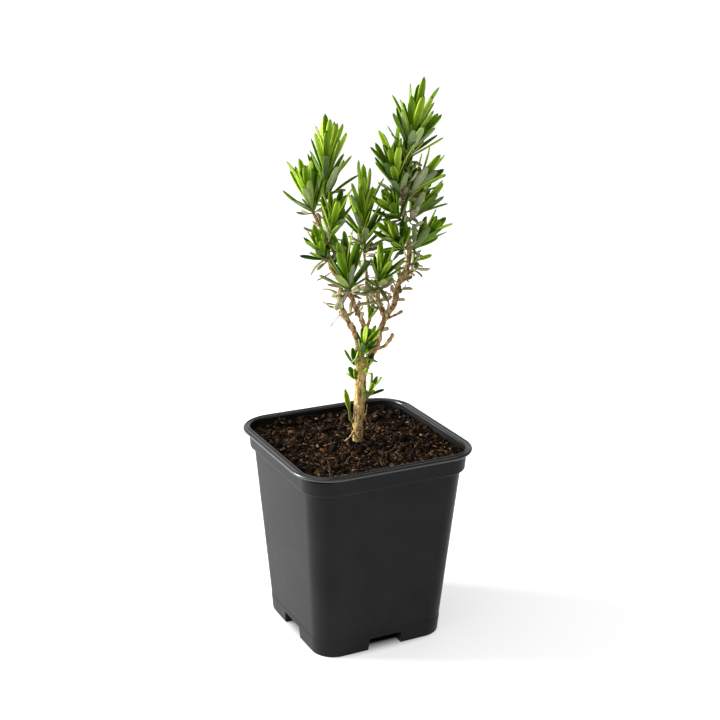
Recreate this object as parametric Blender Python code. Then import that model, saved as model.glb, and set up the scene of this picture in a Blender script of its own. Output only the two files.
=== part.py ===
# Potted lavender: a square nursery pot, its soil, a woody stem and the leafy shoots on it.
# Metres, +Z up, origin on the ground under the middle of the pot.
import math
import random

import bmesh
import bpy
from mathutils import Matrix, Vector
from mathutils.bvhtree import BVHTree

MM = 0.001
GAP = 0.0003  # clearance between neighbouring pieces

# pot
POT_HEIGHT = 0.0958
RIM_HALF = 0.0450
RIM_CORNER = 0.0180
LIP_INNER_HALF = 0.0410
LIP_THICK = 0.0018
BAND_HALF = 0.0416
BAND_DEPTH = 0.0110
BAND_CORNER = 0.0125
BODY_TOP_HALF = 0.0394
BODY_CORNER = 0.0115
FOOT_HALF = 0.0335
FOOT_HEIGHT = 0.0085
FOOT_STEP = 0.0003
BASE_HALF = 0.0331
BASE_CORNER = 0.0110
WALL = 0.0012
CHANNEL_WIDTH = 0.0180
CHANNEL_HEIGHT = 0.0050
CHANNEL_SLOPE = 0.0008
DRAIN_RADIUS = 0.0030
DRAIN_REACH = 0.0170
CORNER_STEPS = 6

# soil
SOIL_LEVEL = 0.0918
SOIL_MOUND = 0.0012
SOIL_LUMP = 0.0005
STEM_FOOT = 0.0800  # height of the buried end of the trunk

# plant, given across, back and up in millimetres and turned about +Z as one
PLANT_TURN = math.radians(-26.7)
LEAF_THICK = 1.0
LEAF_SIDES = 4
LEAF_RINGS = 5
LEAST_BEND = 0.02

BRANCHES = {
    "trunk": dict(radii=(2.3, 2.4, 2.4, 2.5, 2.7, 2.5), points=(
        (1, 1, 80.2), (1, 1, 92), (1, 1, 101), (1.5, 1, 110), (2, 0.5, 120), (2, 0, 131))),
    "left": dict(radii=(1.7, 1.5, 1.3, 1.1, 0.8), points=(
        (1.5, 0, 127), (1, 0, 136), (0.5, -1.5, 143), (-2, -3, 149.5), (-5, -4.5, 155), (-7, -6, 160.5),
        (-8, -7, 164.5), (-7.5, -8, 172), (-12, -9, 180), (-14, -10, 192), (-19, -11, 203.5))),
    "left_up": dict(radii=(0.9, 0.8), points=(
        (-13.6, -10, 190), (-14.5, -6, 199), (-15, -2, 206))),
    "middle_left": dict(radii=(1.1, 0.9, 0.8), points=(
        (2, 0, 130), (2.5, -1, 139), (3.5, -2.5, 149), (-1, -6, 161), (-3, -9, 167.5))),
    "middle": dict(radii=(0.9, 0.8, 0.8), points=(
        (3.4, -2, 147), (6, 1, 154), (5, 3, 160.5), (4, 4, 174.5), (3, 4, 183))),
    "right": dict(radii=(1.9, 1.6, 1.4, 1.2), points=(
        (2.5, 0, 125), (5, 0.5, 132), (8, 1, 138), (10, 1, 142), (10.5, 1, 147), (12.5, 1, 152),
        (13.5, 1, 156))),
    "right_inner": dict(radii=(0.9, 0.7), points=(
        (13, 1, 154.5), (10, -1, 161), (9, -5, 168))),
    "right_outer": dict(radii=(1.1, 1.0, 0.9, 0.8), points=(
        (13, 1, 154), (17, 3, 159.5), (18, 4.5, 164.5), (20, 6, 171), (23, 7, 176.5), (23, 8, 190),
        (21, 8, 199), (20, 8, 208), (21.5, 7, 218), (22, 7, 225))),
    "dead_twig": dict(radii=(0.7, 0.5), points=(
        (8, 1, 138), (13, -0.5, 140.5), (15, -1, 143.5), (17, -1, 146.5))),
    "dead_stub": dict(radii=(0.6, 0.5), points=((11, 1, 147), (14.5, -1, 149))),
    "dead_spur": dict(radii=(0.6, 0.4), points=((13, 1, 153), (17, -0.5, 155), (21, -1, 157.5))),
}

# a shoot's stem runs from root to top; its leaves stand in crossed pairs along it
SHOOTS = {
    "shoot_left_top": dict(root=(-15, -1.6, 207), top=(-13.8, 1, 227), pairs=9, length=(18, 22),
                         splay=(58, 7), turn=20, seed=3),
    "shoot_left_outer": dict(root=(-19.5, -11.1, 204.5), top=(-21.6, -12.2, 212), pairs=6, length=(16, 20),
                           splay=(52, 8), turn=0, seed=5),
    "shoot_left_inner": dict(root=(-12.2, -11.8, 192), top=(-11.2, -14, 201), pairs=5, length=(15, 19),
                           splay=(50, 12), turn=60, seed=7),
    "shoot_left_low": dict(root=(-13.8, -11.2, 183), top=(-16, -13.6, 188), pairs=4, length=(12, 14),
                         splay=(60, 14), turn=15, seed=11),
    "shoot_centre_left": dict(root=(-3.2, -9.7, 168.5), top=(-4.8, -12, 179.5), pairs=7, length=(18, 23),
                            splay=(56, 8), turn=35, seed=13),
    "shoot_centre": dict(root=(3, 4, 183.7), top=(2.6, 4.8, 205.5), pairs=10, length=(15, 21),
                       splay=(76, 8), turn=10, seed=17),
    "shoot_centre_right": dict(root=(9, -5.4, 169), top=(10.6, -7.4, 176), pairs=5, length=(14, 18),
                             splay=(66, 10), turn=50, seed=19),
    "shoot_right_low_inner": dict(root=(20.8, 6, 184.5), top=(16.5, -1, 191.5), pairs=5, length=(15, 18),
                                splay=(50, 8), turn=5, seed=23),
    "shoot_right_low_outer": dict(root=(25.2, 8.6, 184), top=(29.4, 8.2, 189.5), pairs=5, length=(14, 18),
                                splay=(52, 10), turn=40, seed=61),
    "shoot_right_mid_inner": dict(root=(19.2, 6.2, 198.5), top=(16, 2.2, 203.5), pairs=4, length=(13, 16),
                                splay=(50, 12), turn=0, seed=67),
    "shoot_right_mid_outer": dict(root=(23.4, 9.4, 197), top=(27.2, 11.8, 202.5), pairs=5, length=(15, 19),
                                splay=(50, 10), turn=70, seed=29),
    "shoot_right_upper": dict(root=(22.2, 8.4, 208), top=(27.2, 11, 214.5), pairs=5, length=(16, 20),
                            splay=(50, 10), turn=25, seed=31),
    "shoot_right_inner": dict(root=(18.6, 6.8, 208), top=(16.4, 2, 223.5), pairs=8, length=(17, 22),
                            splay=(56, 8), turn=40, seed=37),
    "shoot_right_top": dict(root=(22.1, 6.9, 225.7), top=(24.4, 6.1, 239.5), pairs=9, length=(19, 23.5),
                          splay=(62, 7), turn=0, seed=41),
    "shoot_right_lowest": dict(root=(24.6, 8.8, 176.5), top=(28, 11, 179), pairs=2, length=(8, 8),
                             splay=(70, 30), turn=30, seed=43),
    "sprout_fork": dict(root=(2.6, -3.1, 136), top=(4, -5, 142), pairs=4, length=(9, 13),
                      splay=(40, 14), turn=0, seed=47),
    "sprout_trunk_right": dict(root=(4.9, -0.4, 114.5), top=(7.2, -2, 120.5), pairs=3, length=(8, 10),
                             splay=(44, 14), turn=10, seed=53),
    "sprout_trunk_low": dict(root=(-2.5, 0.2, 103.5), top=(-3.6, -0.4, 111.5), pairs=1, length=(12, 12),
                           splay=(18, 18), turn=95, seed=59),
}

COLOURS = {
    "pot": ((0.020, 0.020, 0.022), 0.42),
    "soil": ((0.022, 0.012, 0.008), 0.95),
    "woody_stem": ((0.30, 0.19, 0.09), 0.85),
    "leaf": ((0.10, 0.24, 0.02), 0.55),
}


def clear_scene():
    for thing in list(bpy.data.objects):
        bpy.data.objects.remove(thing, do_unlink=True)


def plant_point(across, back, up):
    """A point of the plant, turned to stand in the pot's frame, in metres."""
    return Matrix.Rotation(PLANT_TURN, 3, "Z") @ (Vector((across, back, up)) * MM)


def make_material(name, key):
    material = bpy.data.materials.new(name)
    material.use_nodes = True
    shader = material.node_tree.nodes["Principled BSDF"]
    colour, roughness = COLOURS[key]
    shader.inputs["Base Color"].default_value = (*colour, 1.0)
    shader.inputs["Roughness"].default_value = roughness
    shader.inputs["Metallic"].default_value = 0.0
    return material


def mesh_from(bm, name):
    mesh = bpy.data.meshes.new(name)
    bm.to_mesh(mesh)
    bm.free()
    return mesh


def add_object(name, mesh, key=None):
    thing = bpy.data.objects.new(name, mesh)
    bpy.context.collection.objects.link(thing)
    if key:
        mesh.materials.clear()
        mesh.materials.append(make_material(name, key))
        mesh.shade_smooth()
        mesh.set_sharp_from_angle(angle=math.radians(35))
    return thing


def combined(mesh, other, operation):
    """The mesh left when other is united with, or cut from, mesh."""
    base = add_object("base", mesh)
    tool = add_object("tool", other)
    boolean = base.modifiers.new("Boolean", "BOOLEAN")
    boolean.operation = operation
    boolean.solver = "EXACT"
    boolean.use_self = operation == "UNION"
    boolean.object = tool
    graph = bpy.context.evaluated_depsgraph_get()
    result = bpy.data.meshes.new_from_object(base.evaluated_get(graph))
    bpy.data.objects.remove(base, do_unlink=True)
    bpy.data.objects.remove(tool, do_unlink=True)
    return result


# ---- rounded-square rings and lofts ----

def ring_point(index, half, corner, height):
    """One point of a square ring with round corners; index runs once around it."""
    quarter, step = divmod(index, CORNER_STEPS + 1)
    angle = (quarter + step / CORNER_STEPS) * math.pi / 2
    middle = math.pi / 4 + quarter * math.pi / 2
    centre = (half - corner) * math.sqrt(2)
    return Vector((centre * math.cos(middle) + corner * math.cos(angle),
                   centre * math.sin(middle) + corner * math.sin(angle), height))


def loft(sections):
    """A closed solid through (half, corner, height) rings; its two ends are flat faces."""
    bm = bmesh.new()
    bmesh.ops.create_circle(bm, segments=4 * (CORNER_STEPS + 1), radius=1)
    number = bm.verts.layers.int.new("number")
    ring = sorted(bm.verts, key=lambda vert: math.atan2(vert.co.y, vert.co.x) % math.tau)
    for index, vert in enumerate(ring):
        vert[number] = index
    edges = list(bm.edges)
    for level, section in enumerate(sections):
        if level:
            made = bmesh.ops.extrude_edge_only(bm, edges=edges)["geom"]
            ring = [part for part in made if isinstance(part, bmesh.types.BMVert)]
            edges = [part for part in made if isinstance(part, bmesh.types.BMEdge)
                     and all(vert in ring for vert in part.verts)]
        for vert in ring:
            vert.co = ring_point(vert[number], *section)
    bmesh.ops.holes_fill(bm, edges=bm.edges)
    bmesh.ops.recalc_face_normals(bm, faces=bm.faces)
    return bm


# ---- pot ----

def pot_sections():
    """Rings from the base, up the outside, over the lip and down the inside to the floor."""
    top = POT_HEIGHT
    band_top = top - LIP_THICK
    band_low = top - BAND_DEPTH
    rim_round = LIP_THICK * 0.3
    outside = [
        (BASE_HALF - 0.0008, BASE_CORNER - 0.0008, 0),
        (BASE_HALF - 0.0002, BASE_CORNER, 0.0003),
        (BASE_HALF, BASE_CORNER, 0.0010),
        (FOOT_HALF + FOOT_STEP, BASE_CORNER, FOOT_HEIGHT - 0.0004),
        (FOOT_HALF, BASE_CORNER, FOOT_HEIGHT),
        (BODY_TOP_HALF, BODY_CORNER, band_low),
        (BAND_HALF - 0.0012, BAND_CORNER, band_low + 0.0003),
        (BAND_HALF - 0.0006, BAND_CORNER, band_low + 0.0012),
        (BAND_HALF, BAND_CORNER, band_top),
        (RIM_HALF - rim_round, RIM_CORNER - rim_round, band_top),
        (RIM_HALF, RIM_CORNER, band_top + rim_round),
        (RIM_HALF, RIM_CORNER, top - rim_round * 1.5),
        (RIM_HALF - rim_round * 1.5, RIM_CORNER - rim_round * 1.5, top),
    ]
    lip_edge = LIP_INNER_HALF
    inside = [
        (lip_edge + 0.0007, BAND_CORNER - 0.0003, top),
        (lip_edge, BAND_CORNER - 0.0010, top - 0.0008),
        (BAND_HALF - WALL - 0.0004, BAND_CORNER - WALL, band_low + 0.0012),
        (BODY_TOP_HALF - WALL, BODY_CORNER - WALL, band_low - 0.0010),
        (BASE_HALF - WALL, BASE_CORNER - WALL, WALL + 0.0006),
        (BASE_HALF - WALL - 0.0006, BASE_CORNER - WALL - 0.0006, WALL),
    ]
    return outside + inside


def cross_block(width, reach, low, high, slope=0.0):
    """Two bars crossed under the pot's floor; each bar narrows by slope towards its top."""
    bars = []
    for turn in (0, math.pi / 2):
        bm = bmesh.new()
        bmesh.ops.create_cube(bm, size=1)
        for vert in bm.verts:
            upper = vert.co.z > 0
            half = width / 2 - (slope if upper else 0)
            height = high if upper else low
            vert.co = (math.copysign(reach, vert.co.x), math.copysign(half, vert.co.y), height)
        bmesh.ops.rotate(bm, verts=bm.verts, matrix=Matrix.Rotation(turn, 3, "Z"))
        bars.append(mesh_from(bm, "bar"))
    return combined(bars[0], bars[1], "UNION")


def drain_holes():
    bm = bmesh.new()
    for quarter in range(4):
        place = Matrix.Rotation(quarter * math.pi / 2, 4, "Z") @ Matrix.Translation((DRAIN_REACH, 0, 0.005))
        bmesh.ops.create_cone(bm, cap_ends=True, segments=16, radius1=DRAIN_RADIUS, radius2=DRAIN_RADIUS,
                              depth=0.006, matrix=place)
    return mesh_from(bm, "drains")


def build_pot():
    shell = mesh_from(loft(pot_sections()), "pot")
    hump = cross_block(CHANNEL_WIDTH + 2 * WALL, BASE_HALF - WALL / 2, WALL / 2, CHANNEL_HEIGHT + WALL,
                       CHANNEL_SLOPE)
    channel = cross_block(CHANNEL_WIDTH, RIM_HALF, -0.002, CHANNEL_HEIGHT, CHANNEL_SLOPE)
    shell = combined(shell, hump, "UNION")
    shell = combined(shell, channel, "DIFFERENCE")
    shell = combined(shell, drain_holes(), "DIFFERENCE")
    return add_object("pot", shell, "pot")


# ---- soil ----

def soil_height(x, y):
    """Gently mounded towards the trunk, lumpy all over."""
    away = math.hypot(x, y) / BODY_TOP_HALF
    lumps = math.sin(x * 310 + 1.0) * math.cos(y * 270 + 0.4) + 0.6 * math.sin((x + y) * 530)
    return SOIL_LEVEL + SOIL_MOUND * max(0.0, 1 - away) + SOIL_LUMP * lumps


def build_soil():
    low = WALL + GAP
    wall_low = BASE_HALF - WALL - GAP
    wall_high = BODY_TOP_HALF - WALL - GAP
    shoulder = POT_HEIGHT - BAND_DEPTH - 0.0012
    upper = BAND_HALF - WALL - 0.0004 - GAP
    sections = [
        (wall_low - 0.0008, BASE_CORNER - WALL - 0.0008, low),
        (wall_low, BASE_CORNER - WALL, low + 0.0008),
        (wall_high, BODY_CORNER - WALL, shoulder),
        (upper, BAND_CORNER - WALL, shoulder + 0.0028),
        (upper, BAND_CORNER - WALL, SOIL_LEVEL - 0.0012),
    ]
    sections += [(upper * part, (BAND_CORNER - WALL) * part, SOIL_LEVEL)
                 for part in (0.985, 0.86, 0.72, 0.58, 0.44, 0.30, 0.16)]
    bm = loft(sections)
    for vert in bm.verts:
        if vert.co.z > SOIL_LEVEL - 0.0001:
            vert.co.z = soil_height(vert.co.x, vert.co.y)
    body = mesh_from(bm, "soil")
    hump = cross_block(CHANNEL_WIDTH + 2 * (WALL + GAP), RIM_HALF, -0.002, CHANNEL_HEIGHT + WALL + GAP,
                       CHANNEL_SLOPE)
    body = combined(body, hump, "DIFFERENCE")
    socket = bmesh.new()
    place = Matrix.Translation(plant_point(1, 1, 0) + Vector((0, 0, STEM_FOOT + 0.010 - GAP)))
    bmesh.ops.create_cone(socket, cap_ends=True, segments=16, radius1=2.6 * MM + GAP, radius2=2.6 * MM + GAP,
                          depth=0.020 + GAP, matrix=place)
    body = combined(body, mesh_from(socket, "socket"), "DIFFERENCE")
    return add_object("soil", body, "soil")


# ---- tubes ----

def radius_at(radii, part):
    """Radius at part (0 to 1) of the way along, from evenly spaced radii."""
    place = part * (len(radii) - 1)
    step = min(int(place), len(radii) - 2)
    return radii[step] + (radii[step + 1] - radii[step]) * (place - step)


def tube_mesh(points, radii, resolution):
    """A closed tube through plant points."""
    curve = bpy.data.curves.new("tube", "CURVE")
    curve.dimensions = "3D"
    curve.bevel_depth = MM
    curve.bevel_resolution = resolution
    curve.use_fill_caps = True
    spline = curve.splines.new("POLY")
    spline.points.add(len(points) - 1)
    for index, point in enumerate(points):
        spline.points[index].co = (*plant_point(*point), 1)
        spline.points[index].radius = radius_at(radii, index / (len(points) - 1))
    carrier = bpy.data.objects.new("tube", curve)
    mesh = bpy.data.meshes.new_from_object(carrier)
    bpy.data.objects.remove(carrier, do_unlink=True)
    bm = bmesh.new()
    bm.from_mesh(mesh)
    bmesh.ops.remove_doubles(bm, verts=bm.verts, dist=0.00001)
    bmesh.ops.recalc_face_normals(bm, faces=bm.faces)
    return mesh_from(bm, "tube")


def build_woody_stem():
    body = None
    for name, branch in BRANCHES.items():
        resolution = 2 if name == "trunk" else 1
        tube = tube_mesh(branch["points"], branch["radii"], resolution)
        body = combined(body, tube, "UNION") if body else tube
    return add_object("woody_stem", body, "woody_stem")


# ---- leaves and shoots ----

def leaf_into(bm, root, out, up, length, width, thick, bend):
    """Add one leaf: a flattened spindle that leaves root along out and bends towards up."""
    side = out.cross(up).normalized()
    bend = bend if abs(bend) > LEAST_BEND else LEAST_BEND
    made = bmesh.ops.create_uvsphere(bm, u_segments=LEAF_SIDES, v_segments=LEAF_RINGS, radius=1)["verts"]
    for vert in made:
        across, deep, along = vert.co
        part = (along + 1) / 2
        angle = bend * part
        reach = out * math.sin(angle) / bend + up * (1 - math.cos(angle)) / bend
        face_up = up * math.cos(angle) - out * math.sin(angle)
        vert.co = root + reach * length + side * across * width / 2 + face_up * deep * thick / 2
    return made


def blend(ends, part):
    return ends[0] + (ends[1] - ends[0]) * part


def shoot_leaves(plan):
    """The leaves of a shoot: crossed pairs first, then a sparser rank between them."""
    dice = random.Random(plan["seed"])
    root, top = plant_point(*plan["root"]), plant_point(*plan["top"])
    axis = (top - root).normalized()
    start = axis.cross(plant_point(0, 1, 0)).normalized()
    pairs = plan["pairs"]
    ranks = [((pair + 0.6) / pairs, pair, (0, 180)) for pair in range(pairs)]
    for pair in range(pairs):
        part = min((pair + 1.1) / pairs, 1)
        halves = (39, 219) if part < 0.4 else (39,)
        if pairs > 3 and part < 0.8:
            ranks.append((part, pair, halves))
    for part, pair, halves in ranks:
        for half in halves:
            turn = math.radians(plan["turn"] + pair * 78 + half + dice.uniform(-14, 14))
            lean = math.radians(blend(plan["splay"], math.sqrt(part)) + dice.uniform(-6, 6))
            size = blend(plan["length"], part) * dice.uniform(0.86, 1.08) * MM
            sideways = Matrix.Rotation(turn, 3, axis) @ start
            out = axis * math.cos(lean) + sideways * math.sin(lean)
            facing = axis * math.sin(lean) - sideways * math.cos(lean)
            place = root + (top - root) * part + sideways * 0.25 * MM
            yield dict(root=place, out=out, up=facing, length=size, width=dice.uniform(2.9, 3.6) * MM,
                       bend=math.radians(dice.uniform(-10, 12)))


def leaf_is_clear(leaf, trees):
    """True when the leaf, swollen by the clearance, touches no earlier piece."""
    probe = bmesh.new()
    leaf_into(probe, leaf["root"], leaf["out"], leaf["up"], leaf["length"] + GAP,
              leaf["width"] + 2 * GAP, LEAF_THICK * MM + 2 * GAP, leaf["bend"])
    tree = BVHTree.FromBMesh(probe)
    probe.free()
    return not any(tree.overlap(other) for other in trees)


def build_shoot(name, plan, trees):
    stem = tube_mesh((plan["root"], plan["top"]), (0.85, 0.7), 1)
    bm = bmesh.new()
    for leaf in shoot_leaves(plan):
        if leaf_is_clear(leaf, trees):
            leaf_into(bm, leaf["root"], leaf["out"], leaf["up"], leaf["length"], leaf["width"],
                      LEAF_THICK * MM, leaf["bend"])
    body = combined(stem, mesh_from(bm, "leaves"), "UNION")
    return add_object(name, body, "leaf")


def tree_of(thing):
    bm = bmesh.new()
    bm.from_mesh(thing.data)
    tree = BVHTree.FromBMesh(bm)
    bm.free()
    return tree


def main():
    clear_scene()
    build_pot()
    build_soil()
    trees = [tree_of(build_woody_stem())]
    for name, plan in SHOOTS.items():
        trees.append(tree_of(build_shoot(name, plan, trees)))


main()
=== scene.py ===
import math
import random

import bmesh
import bpy
from mathutils import Matrix, Vector, noise


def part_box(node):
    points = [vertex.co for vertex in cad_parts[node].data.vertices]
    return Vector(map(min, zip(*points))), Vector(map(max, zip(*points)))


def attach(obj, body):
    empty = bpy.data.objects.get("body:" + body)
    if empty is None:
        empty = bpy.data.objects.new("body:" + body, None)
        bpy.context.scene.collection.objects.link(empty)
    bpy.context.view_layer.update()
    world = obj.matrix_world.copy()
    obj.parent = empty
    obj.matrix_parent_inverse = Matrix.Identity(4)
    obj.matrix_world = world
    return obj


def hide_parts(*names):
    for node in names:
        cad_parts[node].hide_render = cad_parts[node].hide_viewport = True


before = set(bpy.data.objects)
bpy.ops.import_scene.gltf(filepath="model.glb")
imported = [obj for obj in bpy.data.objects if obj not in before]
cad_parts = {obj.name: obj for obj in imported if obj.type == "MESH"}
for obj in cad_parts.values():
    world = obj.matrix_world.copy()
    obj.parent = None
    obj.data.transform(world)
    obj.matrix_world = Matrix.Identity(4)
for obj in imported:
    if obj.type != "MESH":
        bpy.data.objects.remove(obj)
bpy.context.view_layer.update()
print("frame loaded with", len(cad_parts), "CAD nodes")

mm = 0.001
plantTurn = math.radians(-26.7)  # the plant is laid out across, back and up, then turned as one
goldenTurn = 137.5  # degrees from one scattered leaf to the next


def plantPoint(across, back, up):
    return Matrix.Rotation(plantTurn, 3, "Z") @ (Vector((across, back, up)) * mm)


def blendValue(low, high, part):
    return low + (high - low) * part


def smoothStep(part):
    part = min(max(part, 0.0), 1.0)
    return part * part * (3 - 2 * part)


# camera, floor and lights
cameraView = dict(place=(-0.2693, -0.5381, 0.3275), heading=26.74, tilt=-17.89, roll=0.62,
                  lens=67.97, sensor=36.0)
studio = dict(
    # paintedShadowUnderPot: the distances in metres over which the painted contact shadow under the pot
    # fades out
    floorReach=9, floorGlow=0.64, paintedShadowUnderPot=(0.027, 0.036), worldStrength=0.10,
    skyStrength=0.95, skySpread=60, skyFrom=(-400, -150, 900),
    softboxes={  # place, aim, size, watts, tint
        "softboxLeft": ((-1150, 100, 480), (0, 0, 120), (0.45, 0.6), 27, (1.0, 0.99, 0.97)),
        "softboxBack": ((0, 12000, 4000), (0, 0, 100), (13.6, 4.0), 215, (1, 1, 1)),
        "softboxFront": ((700, -1100, 700), (0, 0, 120), (0.8, 0.8), 2.5, (1, 1, 1))})


def linkObject(name, data):
    added = bpy.data.objects.new(name, data)
    bpy.context.scene.collection.objects.link(added)
    return added


def addCamera(view):
    data = bpy.data.cameras.new("camera")
    data.lens = view["lens"]
    data.sensor_width = view["sensor"]
    camera = linkObject("camera", data)
    turn = (Matrix.Rotation(math.radians(-view["heading"]), 4, "Z")
            @ Matrix.Rotation(math.radians(90 + view["tilt"]), 4, "X")
            @ Matrix.Rotation(math.radians(view["roll"]), 4, "Z"))
    camera.matrix_world = Matrix.Translation(view["place"]) @ turn
    bpy.context.scene.camera = camera


def addSoftbox(name, place, aim, size, watts, tint):
    data = bpy.data.lights.new(name, "AREA")
    data.shape = "RECTANGLE"
    data.size, data.size_y = size
    data.energy = watts
    data.color = tint
    lamp = linkObject(name, data)
    away = (Vector(aim) - Vector(place)).normalized()
    lamp.matrix_world = Matrix.Translation(place) @ away.to_track_quat("-Z", "Y").to_matrix().to_4x4()


def addStudio(studio):
    bm = bmesh.new()
    bmesh.ops.create_grid(bm, x_segments=1, y_segments=1, size=studio["floorReach"])
    floor = finishMesh("floor", bm)
    floor.data.materials.append(floorSkin(studio["floorGlow"], studio["paintedShadowUnderPot"]))
    for name, (place, aim, size, watts, tint) in studio["softboxes"].items():
        addSoftbox(name, plantPoint(*place), plantPoint(*aim), size, watts, tint)
    sky = bpy.data.lights.new("skylight", "SUN")
    sky.energy = studio["skyStrength"]
    sky.angle = math.radians(studio["skySpread"])
    lamp = linkObject("skylight", sky)
    lamp.matrix_world = plantPoint(*studio["skyFrom"]).to_track_quat("Z", "Y").to_matrix().to_4x4()
    world = bpy.data.worlds.new("studio")
    bpy.context.scene.world = world
    world.use_nodes = True
    backdrop = world.node_tree.nodes["Background"]
    backdrop.inputs["Color"].default_value = (1, 1, 1, 1)
    backdrop.inputs["Strength"].default_value = studio["worldStrength"]
    bpy.context.scene.view_settings.view_transform = "Standard"


# mesh helpers
def finishMesh(name, bm, smooth=True):
    mesh = bpy.data.meshes.new(name)
    bm.to_mesh(mesh)
    bm.free()
    if smooth:
        mesh.shade_smooth()
    return linkObject(name, mesh)


def settlePiece(piece, slotName, *nodes):
    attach(piece, "root")
    if nodes:
        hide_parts(*nodes)


def finishPiece(name, bm, skin, slotName, *nodes):
    piece = finishMesh(name, bm)
    piece.data.materials.append(skin)
    settlePiece(piece, slotName, *nodes)
    print(name, "done:", len(piece.data.polygons), "faces")


def combine(piece, other, operation):
    boolean = piece.modifiers.new("combine", "BOOLEAN")
    boolean.operation = operation
    boolean.solver = "EXACT"
    boolean.object = other
    applyAll(piece)
    bpy.data.objects.remove(other, do_unlink=True)


def applyAll(piece):
    graph = bpy.context.evaluated_depsgraph_get()
    mesh = bpy.data.meshes.new_from_object(piece.evaluated_get(graph))
    piece.modifiers.clear()
    piece.data = mesh


# material helpers
class SkinBook:
    def __init__(self, name):
        self.material = bpy.data.materials.new(name)
        self.material.use_nodes = True
        self.tree = self.material.node_tree
        self.shader = self.tree.nodes["Principled BSDF"]
        self.place = self.add("ShaderNodeTexCoord").outputs["Object"]

    def add(self, kind, **values):
        node = self.tree.nodes.new(kind)
        for key, value in values.items():
            setattr(node, key, value)
        return node

    def join(self, source, target):
        self.tree.links.new(source, target)

    def feed(self, value, socket):
        if isinstance(value, bpy.types.NodeSocket):
            self.join(value, socket)
        else:
            socket.default_value = (*value, 1) if isinstance(value, tuple) else value

    def stretched(self, scale):
        node = self.add("ShaderNodeMapping")
        node.inputs["Scale"].default_value = scale
        self.join(self.place, node.inputs["Vector"])
        return node.outputs["Vector"]

    def grain(self, scale, detail=3.0, rough=0.55, place=None):
        node = self.add("ShaderNodeTexNoise")
        node.inputs["Scale"].default_value = scale
        node.inputs["Detail"].default_value = detail
        node.inputs["Roughness"].default_value = rough
        self.join(place or self.place, node.inputs["Vector"])
        return node.outputs["Fac"]

    def ramp(self, source, stops):
        node = self.add("ShaderNodeValToRGB")
        points = node.color_ramp.elements
        while len(points) < len(stops):
            points.new(0.5)
        for point, (spot, colour) in zip(points, stops):
            point.position = spot
            point.color = (*colour, 1)
        self.join(source, node.inputs["Fac"])
        return node.outputs["Color"]

    def tones(self, source, *colours):
        last = len(colours) - 1
        return self.ramp(source, [(index / last, colour) for index, colour in enumerate(colours)])

    def span(self, source, low, high, fromLow=0.0, fromHigh=1.0):
        node = self.add("ShaderNodeMapRange")
        limits = {"From Min": fromLow, "From Max": fromHigh, "To Min": low, "To Max": high}
        for name, value in limits.items():
            node.inputs[name].default_value = value
        self.join(source, node.inputs["Value"])
        return node.outputs["Result"]

    def mix(self, factor, first, second, blend="MIX"):
        node = self.add("ShaderNodeMix", data_type="RGBA", blend_type=blend)
        for value, index in ((factor, 0), (first, 6), (second, 7)):  # the colour sockets of the node
            self.feed(value, node.inputs[index])
        return node.outputs[2]

    def tinted(self, colour, tint):
        return self.mix(1.0, colour, tint, "MULTIPLY")

    def maths(self, operation, first, second=0.0):
        node = self.add("ShaderNodeMath", operation=operation)
        self.feed(first, node.inputs[0])
        self.feed(second, node.inputs[1])
        return node.outputs[0]

    def channels(self, attribute):
        node = self.add("ShaderNodeAttribute", attribute_name=attribute)
        split = self.add("ShaderNodeSeparateColor")
        self.join(node.outputs["Color"], split.inputs["Color"])
        return split.outputs[0], split.outputs[1], split.outputs[2]

    def bump(self, height, strength, distance, under=None):
        node = self.add("ShaderNodeBump")
        node.inputs["Strength"].default_value = strength
        node.inputs["Distance"].default_value = distance
        self.join(height, node.inputs["Height"])
        if under:
            self.join(under, node.inputs["Normal"])
        return node.outputs["Normal"]

    def finish(self, colour, roughness, normal=None, **plain):
        for source, name in ((colour, "Base Color"), (roughness, "Roughness"), (normal, "Normal")):
            if source is not None:
                self.feed(source, self.shader.inputs[name])
        for name, value in plain.items():
            self.shader.inputs[name.replace("_", " ")].default_value = value
        return self.material


def floorSkin(glow, paintedShadowUnderPot):
    book = SkinBook("floorPaper")
    cloud = book.grain(3.0, 2.0)
    colour = book.ramp(cloud, ((0.3, (0.80, 0.80, 0.80)), (0.7, (0.82, 0.82, 0.82))))
    spread = book.add("ShaderNodeSeparateXYZ")
    book.join(book.place, spread.inputs[0])
    sides = [book.maths("POWER", book.maths("ABSOLUTE", spread.outputs[way]), 4.0) for way in (0, 1)]
    reach = book.maths("POWER", book.maths("ADD", *sides), 0.25)  # a square with round corners
    glowOutsidePaintedShadow = book.span(reach, 0.0, glow, *paintedShadowUnderPot)  # no glow right under the pot: a painted contact shadow
    # the floor colour is also painted nearly black under the pot, as a painted contact shadow
    colour = book.mix(book.span(reach, 1.0, 0.0, *paintedShadowUnderPot), colour, (0.02, 0.02, 0.02))
    book.shader.inputs["Emission Color"].default_value = (1, 1, 1, 1)
    book.join(glowOutsidePaintedShadow, book.shader.inputs["Emission Strength"])
    return book.finish(colour, 0.7, Specular_IOR_Level=0.2)


def potSkin(name, gloss, satin, grit):
    book = SkinBook(name)
    cloud = book.grain(60.0, 4.0)
    colour = book.ramp(cloud, ((0.3, (0.0095, 0.0095, 0.0100)), (0.7, (0.0135, 0.0135, 0.0145))))
    dust = book.span(book.grain(420.0, 5.0, 0.7), 0.0, 0.10, 0.60, 0.80)
    colour = book.mix(dust, colour, (0.10, 0.09, 0.08))
    sheen = book.span(book.grain(240.0, 5.0), satin, satin + 0.12)
    pebble = book.bump(book.grain(2600.0, 3.0), 0.35 * grit, 0.00006)
    flow = book.bump(book.grain(70.0, 2.0, place=book.stretched((1, 1, 0.3))), 0.2 * grit, 0.0005, pebble)
    return book.finish(colour, sheen, flow, Specular_IOR_Level=gloss)


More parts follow.
